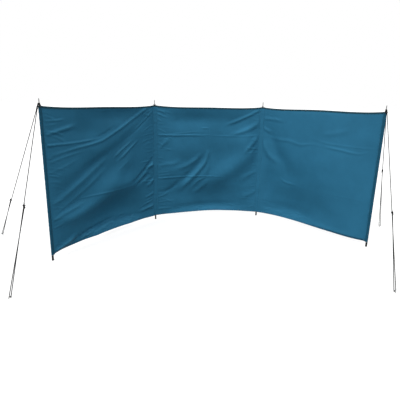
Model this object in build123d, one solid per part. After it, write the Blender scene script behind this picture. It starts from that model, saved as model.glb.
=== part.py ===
# Beach windbreak: three bays of cloth on four steel poles, each end pole guyed to two pegs.
# Millimetres, +Z up. The origin is the middle of the left inner pole's foot, on the ground.
# +X runs along the middle bay, and the hollow, sheltered side faces -Y.

import math
import os

from build123d import *

# Layout: distance between neighbouring pole axes, and how far each outer bay swings forward
bay_chord = 1295.0
left_turn = 44.0
right_turn = 47.5

# Poles: thin steel tube
pole_radius = 8.0
pole_wall = 0.8
pole_top = 1390.0

# Feet: plastic ferrules pushed on the tubes
foot_height = 47.0
foot_floor = 5.0
foot_top_radius = 9.2
foot_lip_radius = 10.0
foot_lip_height = 6.0
foot_edge = 1.2
foot_clearance = 0.1

# Spikes: steel plug, shoulder, seats for the eyelet and the guys' loops, and pointed pin, in one
plug_length = 26.0
plug_clearance = 0.1
plug_edge = 0.6
shoulder_height = 3.0
seat_radius = 4.0
loop_seat_radius = 3.5
pin_radius = 3.0
pin_length = 28.0
pin_taper = 9.0
pin_point_radius = 1.2

# Cloth: one sheet, thicker hems, and pockets that hold the poles
cloth = 1.6
hem = 3.2
cloth_bottom = 50.0
cloth_drop = 4.0
top_hem_height = 18.0
bottom_hem_height = 22.0
seam_clearance = 0.2
top_drop_run = 60.0
top_drop = 6.0

# Pockets: slack round the tube, where the two layers are stitched, and where the bay begins
pocket_clearance = 0.3
end_stitch = 19.0
end_tail = 24.0
inner_stitch = 22.0
inner_tail = 27.0

# Straps and eyelets: webbing over each pole top, with a pressed steel eyelet round the seat
strap = 1.6
strap_width = 16.0
strap_leg = 20.0
strap_bend = 3.0
strap_clearance = 1.2
eyelet = 0.8
eyelet_radius = 7.4
eyelet_clearance = 0.15

# Guys: rope with a loop on the pin, a knot, a turn round the peg and a return to the runner
rope_radius = 3.0
rope_clearance = 0.3
ring_gap = 0.2
guy_out = 16.0
guy_bend = 6.0
knot_radius = 6.0
knot_run = 30.0

# Runners: flat bars that the main strand and the return both pass through
runner_length = 38.0
runner_width = 13.0
runner_thickness = 6.0
runner_edge = 1.2
runner_holes = 16.0
strand_gap = 11.0
runner_clearance = 0.25

# Pegs: bent wire, cut at the ground
peg_radius = 3.0
peg_lean = 40.0
peg_loop_height = 18.0
peg_hook_radius = 9.0
peg_hook_start = 6.0
peg_hook_tail = 8.0
peg_clearance = 0.5

# Bays: heading of each chord, sag of the top hem, and how far the bottom hem bows back at
# shares of the chord
bays = {
    "left": {"start": "left_end", "heading": left_turn, "sag": 15.0,
             "bows": (76.0,), "bow_shares": (0.43,)},
    "middle": {"start": "left_inner", "heading": 0.0, "sag": 15.0,
               "bows": (94.0,), "bow_shares": (0.48,)},
    "right": {"start": "right_inner", "heading": -right_turn, "sag": 8.0,
              "bows": (50.0, -30.0), "bow_shares": (0.26, 0.77)},
}
top_bow = 6.0

# Guys: pole, bearing of the peg from it, distance out, runner up the strand, place on the pin, and
# whether the return meets the runner above the strand (1) or below it (-1)
guys = {
    "left_back": {"pole": "left_end", "bearing": 139.5, "reach": 910.0, "lift": 500.0, "level": 0,
                  "side": 1},
    "left_front": {"pole": "left_end", "bearing": -103.5, "reach": 550.0, "lift": 650.0, "level": 1,
                   "side": -1},
    "right_back": {"pole": "right_end", "bearing": 42.0, "reach": 680.0, "lift": 815.0, "level": 0,
                   "side": -1},
    "right_front": {"pole": "right_end", "bearing": -111.5, "reach": 805.0, "lift": 610.0, "level": 1,
                    "side": 1},
}


def bearing_vector(degrees, length):
    return Vector(length * math.cos(math.radians(degrees)), length * math.sin(math.radians(degrees)), 0)


left_inner = Vector(0, 0, 0)
right_inner = left_inner + bearing_vector(0, bay_chord)
left_end = left_inner - bearing_vector(left_turn, bay_chord)
right_end = right_inner + bearing_vector(-right_turn, bay_chord)

# Poles: place, headings of the cloth that leaves each one, and which way the strap's legs face
poles = {
    "left_end": {"at": left_end, "tails": (left_turn,), "facing": left_turn},
    "left_inner": {"at": left_inner, "tails": (180 + left_turn, 0), "facing": left_turn / 2},
    "right_inner": {"at": right_inner, "tails": (180, -right_turn), "facing": -right_turn / 2},
    "right_end": {"at": right_end, "tails": (180 - right_turn,), "facing": -right_turn},
}

# Heights that stack up on a pole top
shoulder_top = pole_top + shoulder_height
strap_bottom = shoulder_top + eyelet
strap_top = strap_bottom + strap
eyelet_top = strap_top + eyelet
ring_pitch = 2 * rope_radius + ring_gap
first_ring = eyelet_top + ring_gap + rope_radius
loop_seat_top = first_ring + ring_pitch + rope_radius + ring_gap
pin_top = loop_seat_top + pin_length
pin_tip = pin_top + pin_taper
cloth_top = pole_top - cloth_drop

pocket_inner = pole_radius + pocket_clearance
pocket_outer = pocket_inner + cloth


def revolve_profile(points):
    return revolve(make_face(Plane.XZ * Polyline(*points, close=True)), axis=Axis.Z)


def make_pole():
    height = pole_top - foot_floor
    tube = Circle(pole_radius) - Circle(pole_radius - pole_wall)
    return Pos(0, 0, foot_floor) * extrude(tube, amount=height)


def make_foot():
    bore = pole_radius + foot_clearance
    body = revolve_profile([
        (0, 0), (foot_lip_radius, 0), (foot_lip_radius, foot_lip_height),
        (foot_lip_radius - foot_edge, foot_lip_height + foot_edge),
        (foot_top_radius, foot_height), (bore, foot_height), (bore, foot_floor), (0, foot_floor),
    ])
    ground_edge = body.edges().filter_by(GeomType.CIRCLE).group_by(Axis.Z)[0]
    return chamfer(ground_edge, foot_edge)


def make_spike():
    plug = pole_radius - pole_wall - plug_clearance
    plug_bottom = pole_top - plug_length
    return revolve_profile([
        (0, plug_bottom), (plug - plug_edge, plug_bottom), (plug, plug_bottom + plug_edge),
        (plug, pole_top), (pole_radius, pole_top), (pole_radius, shoulder_top),
        (seat_radius, shoulder_top), (seat_radius, eyelet_top), (loop_seat_radius, eyelet_top),
        (loop_seat_radius, loop_seat_top), (pin_radius, loop_seat_top),
        (pin_radius, pin_top), (pin_point_radius, pin_tip), (0, pin_tip),
    ])


def make_eyelet():
    bore = seat_radius + eyelet_clearance
    neck = bore + eyelet
    return revolve_profile([
        (bore, shoulder_top), (eyelet_radius, shoulder_top), (eyelet_radius, strap_bottom),
        (neck, strap_bottom), (neck, strap_top), (eyelet_radius, strap_top),
        (eyelet_radius - eyelet, eyelet_top), (bore, eyelet_top),
    ])


def make_strap():
    inside = pocket_outer + strap_clearance
    outside = inside + strap
    leg_bottom = strap_top - strap_leg
    outer = Pos(0, (strap_top + leg_bottom) / 2) * Rectangle(2 * outside, strap_leg)
    inner = Pos(0, (strap_bottom + leg_bottom) / 2) * Rectangle(2 * inside, strap_bottom - leg_bottom)
    outer = fillet(outer.vertices().group_by(Axis.Y)[-1], strap_bend)
    inner = fillet(inner.vertices().group_by(Axis.Y)[-1], strap_bend - strap)
    band = extrude(Plane.YZ * (outer - inner), amount=strap_width / 2, both=True)
    hole_radius = seat_radius + eyelet_clearance + eyelet + eyelet_clearance
    hole = Pos(0, 0, strap_bottom + strap / 2) * Cylinder(hole_radius, 2 * strap)
    return band - hole


def teardrop(radius, reach, half_width):
    corner = math.hypot(reach, half_width)
    angle = math.atan2(half_width, reach) + math.acos(radius / corner)
    touch_x = radius * math.cos(angle)
    touch_y = radius * math.sin(angle)
    tail = Polygon((touch_x, touch_y), (touch_x, -touch_y), (reach, -half_width), (reach, half_width),
                   align=None)
    return Circle(radius) + tail


def make_pocket(tails):
    end_pocket = len(tails) == 1
    stitch = end_stitch if end_pocket else inner_stitch
    tail_end = end_tail if end_pocket else inner_tail
    outline = Sketch()
    hollow = Sketch()
    for heading in tails:
        outline += Rot(0, 0, heading) * teardrop(pocket_outer, tail_end, cloth)
        hollow += Rot(0, 0, heading) * teardrop(pocket_inner, stitch, pocket_clearance)
    return Pos(0, 0, cloth_bottom) * extrude(outline - hollow, amount=cloth_top - cloth_bottom)


def tail_lengths(bay):
    first = end_tail if bay == "left" else inner_tail
    last = end_tail if bay == "right" else inner_tail
    return first + seam_clearance, last + seam_clearance


def sheet_section(bay, bows, shares, thickness, height):
    # Plan of a bay at one height: the hem's curve, as thick as the sheet
    first, last = tail_lengths(bay)
    end_x = bay_chord - last
    middle = [(share * bay_chord, bow) for share, bow in zip(shares, bows)]
    curve = [(first, 0), *middle, (end_x, 0)]
    half = thickness / 2
    front = Spline(*[(x, y - half) for x, y in curve])
    back = Spline(*[(x, y + half) for x, y in curve])
    ends = [Line(front @ 0, back @ 0), Line(front @ 1, back @ 1)]
    return Pos(0, 0, height) * make_face([front, back, *ends])


def lofted_sheet(bay, thickness):
    # Ruled between the bowed bottom hem and the nearly straight top hem
    shape = bays[bay]
    count = len(shape["bows"])
    top_bows = (top_bow,) * count
    low = sheet_section(bay, shape["bows"], shape["bow_shares"], thickness, cloth_bottom)
    high = sheet_section(bay, top_bows, shape["bow_shares"], thickness, cloth_top)
    return loft([low, high], ruled=True)


def under_top(bay, depth):
    # Everything in front and back view that lies a given depth below the sagging top edge
    sag = bays[bay]["sag"]
    low_z = cloth_bottom - hem
    edge = Spline(
        (0, cloth_top - depth), (top_drop_run, cloth_top - top_drop - depth),
        (bay_chord / 2, cloth_top - sag - depth),
        (bay_chord - top_drop_run, cloth_top - top_drop - depth), (bay_chord, cloth_top - depth),
    )
    rest = Polyline(edge @ 0, (0, low_z), (bay_chord, low_z), edge @ 1)
    return extrude(Plane.XZ * make_face([edge, rest]), amount=bay_chord / 2, both=True)


def above(height):
    return Pos(bay_chord / 2, 0, height) * Box(2 * bay_chord, bay_chord, cloth_top,
                                               align=(Align.CENTER, Align.CENTER, Align.MIN))


def make_bay(bay):
    hem_line = cloth_bottom + bottom_hem_height
    sheet = lofted_sheet(bay, cloth)
    band = lofted_sheet(bay, hem)
    panel = (sheet & under_top(bay, top_hem_height + seam_clearance)) & above(hem_line + seam_clearance)
    top_hem = (band & under_top(bay, 0)) - under_top(bay, top_hem_height)
    bottom_hem = band - above(hem_line)
    place = Pos(*poles[bays[bay]["start"]]["at"]) * Rot(0, 0, bays[bay]["heading"])
    return place * panel, place * top_hem, place * bottom_hem


def make_guy_set(guy):
    # Worked out with the pole at the origin and the peg along +X, then turned into place
    ring_height = first_ring + ring_pitch * guy["level"]
    corner = Vector(guy_out, 0, ring_height)
    peg_side = Vector(guy["reach"], 0, peg_loop_height)
    up_strand = (corner - peg_side).normalized()
    lateral = Vector(0, 1, 0)

    lean = math.radians(peg_lean)
    shank = Vector(math.sin(lean), 0, math.cos(lean))
    loop_radius = (peg_radius + rope_radius + peg_clearance) / shank.cross(up_strand).length
    loop_middle = peg_side - lateral * loop_radius

    # The runner's lower hole is on the return and its upper hole on the main strand
    over_strand = lateral.cross(up_strand) * guy["side"]
    hole_rise = math.sqrt(runner_holes ** 2 - strand_gap ** 2)
    lower_hole = peg_side + up_strand * guy["lift"] + over_strand * strand_gap
    upper_hole = lower_hole - over_strand * strand_gap + up_strand * hole_rise
    along_bar = (upper_hole - lower_hole).normalized()
    flat = along_bar.cross(up_strand.cross(over_strand)).normalized()
    knot_gap = runner_thickness / 2 + knot_radius + runner_clearance
    turn_low = peg_side - up_strand * loop_radius
    return_low = turn_low - lateral * (2 * loop_radius)
    up_return = (lower_hole - return_low).normalized()
    return_knot = lower_hole + up_return * (knot_gap / abs(flat.dot(up_return)))

    ring_radius = loop_seat_radius + rope_clearance + rope_radius
    start = Vector(ring_radius, 0, ring_height)
    route = FilletPolyline(start, corner, turn_low, return_low, return_knot, radius=guy_bend)
    rope = sweep(Plane(origin=start, z_dir=(1, 0, 0)) * Circle(rope_radius), path=route)
    ring = Pos(0, 0, ring_height) * Torus(ring_radius, rope_radius)
    top_knot = Pos(*(corner - up_strand * knot_run)) * Sphere(knot_radius)
    end_knot = Pos(*return_knot) * Sphere(knot_radius)
    rope = rope + ring + top_knot + end_knot

    bar = Plane(origin=(lower_hole + upper_hole) * 0.5, x_dir=along_bar, z_dir=flat)
    runner = bar * extrude(SlotOverall(runner_length, runner_width), amount=runner_thickness / 2, both=True)
    runner = fillet(runner.edges().filter_by(lambda edge: abs(edge.tangent_at(0).dot(flat)) < 0.5),
                    runner_edge)
    for hole, way in ((lower_hole, up_return), (upper_hole, up_strand)):
        bore = Cylinder(rope_radius + runner_clearance, runner_length)
        runner -= Plane(origin=hole, z_dir=way) * bore

    outward = Vector(math.cos(lean), 0, -math.sin(lean))
    hook_start = loop_middle + shank * peg_hook_start
    hook_top = hook_start + (outward + shank) * peg_hook_radius
    hook_end = hook_start + outward * (2 * peg_hook_radius)
    below_ground = loop_middle - shank * (2 * peg_loop_height)
    wire_route = Wire([
        Line(below_ground, hook_start),
        ThreePointArc(hook_start, hook_top, hook_end),
        Line(hook_end, hook_end - shank * peg_hook_tail),
    ])
    peg = sweep(Plane(origin=below_ground, z_dir=shank) * Circle(peg_radius), path=wire_route)
    peg = split(peg, bisect_by=Plane.XY, keep=Keep.TOP)

    place = Pos(*poles[guy["pole"]]["at"]) * Rot(0, 0, guy["bearing"])
    return place * rope, place * runner, place * peg


os.makedirs("parts", exist_ok=True)


def save(shape, node):
    export_step(shape, f"parts/{node}.step")


for name, pole in poles.items():
    place = Pos(*pole["at"])
    facing = place * Rot(0, 0, pole["facing"])
    save(place * make_pole(), f"{name}_pole")
    save(place * make_foot(), f"{name}_foot")
    save(place * make_spike(), f"{name}_spike")
    save(place * make_eyelet(), f"{name}_eyelet")
    save(facing * make_strap(), f"{name}_strap")
    save(place * make_pocket(pole["tails"]), f"{name}_pocket")

for bay in bays:
    panel, top_hem, bottom_hem = make_bay(bay)
    save(panel, f"{bay}_panel")
    save(top_hem, f"{bay}_top_hem")
    save(bottom_hem, f"{bay}_bottom_hem")

for name, guy in guys.items():
    rope, runner, peg = make_guy_set(guy)
    save(rope, f"{name}_guy")
    save(runner, f"{name}_runner")
    save(peg, f"{name}_peg")
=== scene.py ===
import math

import bpy
import numpy as np
from mathutils import Matrix, Vector


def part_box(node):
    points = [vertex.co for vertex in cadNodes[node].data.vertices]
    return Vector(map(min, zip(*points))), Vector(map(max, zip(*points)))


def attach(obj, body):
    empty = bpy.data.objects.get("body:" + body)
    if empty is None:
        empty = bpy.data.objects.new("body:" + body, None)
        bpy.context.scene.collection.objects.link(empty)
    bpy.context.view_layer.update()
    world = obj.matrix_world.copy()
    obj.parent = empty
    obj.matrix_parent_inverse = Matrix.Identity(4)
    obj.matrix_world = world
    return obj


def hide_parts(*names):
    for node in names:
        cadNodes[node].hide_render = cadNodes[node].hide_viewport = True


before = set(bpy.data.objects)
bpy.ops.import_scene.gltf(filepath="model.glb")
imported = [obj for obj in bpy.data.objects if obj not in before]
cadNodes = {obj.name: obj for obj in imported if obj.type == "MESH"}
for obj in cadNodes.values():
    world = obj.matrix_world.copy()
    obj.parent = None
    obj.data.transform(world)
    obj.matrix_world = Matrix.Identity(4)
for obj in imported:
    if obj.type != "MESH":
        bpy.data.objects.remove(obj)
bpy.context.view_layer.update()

scene = bpy.context.scene
seed = 316
rng = np.random.default_rng(seed)
mm = 0.001
upward = np.array([0.0, 0.0, 1.0])
print("frame loaded:", len(cadNodes), "nodes")


# ground plan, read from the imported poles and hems

bays = {
    "left": ("left_end", "left_inner"),
    "middle": ("left_inner", "right_inner"),
    "right": ("right_inner", "right_end"),
}
poles = ("left_end", "left_inner", "right_inner", "right_end")


def poleFoot(pole):
    low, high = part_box(pole + "_pole")
    return np.array([(low.x + high.x) / 2, (low.y + high.y) / 2, 0.0])


def meshPoints(node):
    mesh = cadNodes[node].data
    points = np.zeros(len(mesh.vertices) * 3, np.float32)
    mesh.vertices.foreach_get("co", points)
    return points.reshape(-1, 3).astype(float)


def unit(vector):
    return vector / np.linalg.norm(vector)


bowTerms = {"bottom": 7, "top": 5}  # powers that follow the bow of a hem


def bayPlan(bay):
    start, end = (poleFoot(pole) for pole in bays[bay])
    along = unit(end - start)
    back = np.array([-along[1], along[0], 0.0])  # windward side
    plan = {"start": start, "along": along, "back": back, "chord": float(np.linalg.norm(end - start))}

    def local(part):
        points = meshPoints(bay + part) - start
        return np.stack([points @ along, points @ back, points[:, 2]], 1)

    low, high, panel = local("_bottom_hem"), local("_top_hem"), local("_panel")
    plan["bottomZ"], plan["topZ"] = low[:, 2].min(), high[:, 2].max()
    plan["bottomHem"] = low[:, 2].max() - plan["bottomZ"]
    plan["firstX"], plan["lastX"] = panel[:, 0].min(), panel[:, 0].max()
    lowLine = low[low[:, 2] < plan["bottomZ"] + mm]
    middleZ = (high[:, 2].min() + high[:, 2].max()) / 2
    topLine = high[high[:, 2] > middleZ]
    underLine = high[high[:, 2] < middleZ]
    plan["topHem"] = topLine[:, 2].max() - underLine[:, 2].max()
    plan["bottomBow"] = np.polyfit(lowLine[:, 0], lowLine[:, 1], bowTerms["bottom"])
    plan["topBow"] = np.polyfit(topLine[:, 0], topLine[:, 1], bowTerms["top"])
    order = np.argsort(topLine[:, 0])
    plan["topX"], plan["topEdge"] = topLine[order, 0], topLine[order, 2]
    return plan


plans = {bay: bayPlan(bay) for bay in bays}
clothHeight = float(plans["middle"]["topZ"] - plans["middle"]["bottomZ"])


# small mesh tools

creaseLines = {"offsets": (-6, -2.5, 0, 2.5, 6), "clear": 2.4 * mm}  # mm; grid lines beside a crease
tiny = 1e-12


def newPiece(name, verts, faceSets, uv=None, attribute=None):
    mesh = bpy.data.meshes.new(name)
    verts = np.asarray(verts, np.float32)
    faceSets = [np.asarray(faces, np.int32) for faces in faceSets]
    corners = np.concatenate([faces.ravel() for faces in faceSets])
    sizes = np.concatenate([np.full(len(faces), faces.shape[1], np.int32) for faces in faceSets])
    mesh.vertices.add(len(verts))
    mesh.vertices.foreach_set("co", verts.ravel())
    mesh.loops.add(len(corners))
    mesh.loops.foreach_set("vertex_index", corners)
    mesh.polygons.add(len(sizes))
    mesh.polygons.foreach_set("loop_start", np.concatenate([[0], np.cumsum(sizes)[:-1]]).astype(np.int32))
    mesh.polygons.foreach_set("use_smooth", np.ones(len(sizes), bool))
    if uv is not None:
        layer = mesh.uv_layers.new(name="clothPlace")
        layer.data.foreach_set("uv", np.asarray(uv, np.float32)[corners].ravel())
    if attribute is not None:
        # the attribute is a mask for painted highlight and painted shade in the finishes
        fold = mesh.attributes.new("paintedLightShade", "FLOAT", "POINT")
        fold.data.foreach_set("value", attribute.astype(np.float32))
    mesh.update(calc_edges=True)
    piece = bpy.data.objects.new(name, mesh)
    scene.collection.objects.link(piece)
    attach(piece, "root")
    return piece


def gridNormals(points):
    normals = np.cross(np.gradient(points, axis=0), np.gradient(points, axis=1))
    return normals / np.maximum(np.linalg.norm(normals, axis=2, keepdims=True), tiny)


def clothShell(grids, uvs, thickness):
    # closed thin sheets round middle-surface grids
    verts, faces, places = [], [], []
    base = 0
    for points, uv in zip(grids, uvs):
        half = gridNormals(points) * thickness / 2
        n, m = points.shape[:2]
        verts += [(points + half).reshape(-1, 3), (points - half).reshape(-1, 3)]
        places += [uv.reshape(-1, 2)] * 2
        index = np.arange(n * m).reshape(n, m) + base
        quads = np.stack([index[:-1, :-1], index[1:, :-1], index[1:, 1:], index[:-1, 1:]], -1).reshape(-1, 4)
        rim = np.concatenate([index[:, 0], index[-1, 1:], index[-2::-1, -1], index[0, -2::-1]])
        edge = np.stack([rim[1:], rim[:-1], rim[:-1] + n * m, rim[1:] + n * m], -1)
        faces += [quads, quads[:, ::-1] + n * m, edge]
        base += 2 * n * m
    return np.vstack(verts), [np.vstack(faces)], np.vstack(places)


def smoothStep(value):
    value = np.clip(value, 0, 1)
    return value * value * (3 - 2 * value)


def smoothPath(points, steps=8):  # curve through the given points
    points = np.array(points, float)
    padded = np.vstack([2 * points[0] - points[1], points, 2 * points[-1] - points[-2]])
    share = np.linspace(0, 1, steps, endpoint=False)[:, None]
    runs = []
    for a, b, c, d in zip(padded, padded[1:], padded[2:], padded[3:]):
        runs.append(0.5 * (2 * b + (c - a) * share + (2 * a - 5 * b + 4 * c - d) * share ** 2
                           + (3 * b - a - 3 * c + d) * share ** 3))
    return np.vstack([*runs, points[-1:]])


def evenPath(path, step):  # same line, evenly spaced points
    lengths = np.concatenate([[0], np.cumsum(np.linalg.norm(np.diff(path, axis=0), axis=1))])
    places = np.linspace(0, lengths[-1], max(2, int(round(lengths[-1] / step)) + 1))
    return np.stack([np.interp(places, lengths, path[:, i]) for i in range(path.shape[1])], 1)


def spacedLine(first, last, step, accents=()):  # even spacing, closer beside creases
    line = np.linspace(first, last, int(round((last - first) / step)) + 1)
    extra = np.array([place + offset * mm for place in accents for offset in creaseLines["offsets"]])
    if len(extra):
        line = line[np.all(np.abs(line[:, None] - extra[None]) > creaseLines["clear"], axis=1)]
    return np.sort(np.concatenate([line, extra]))


# folds of each bay, as they lie in the photograph

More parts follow.
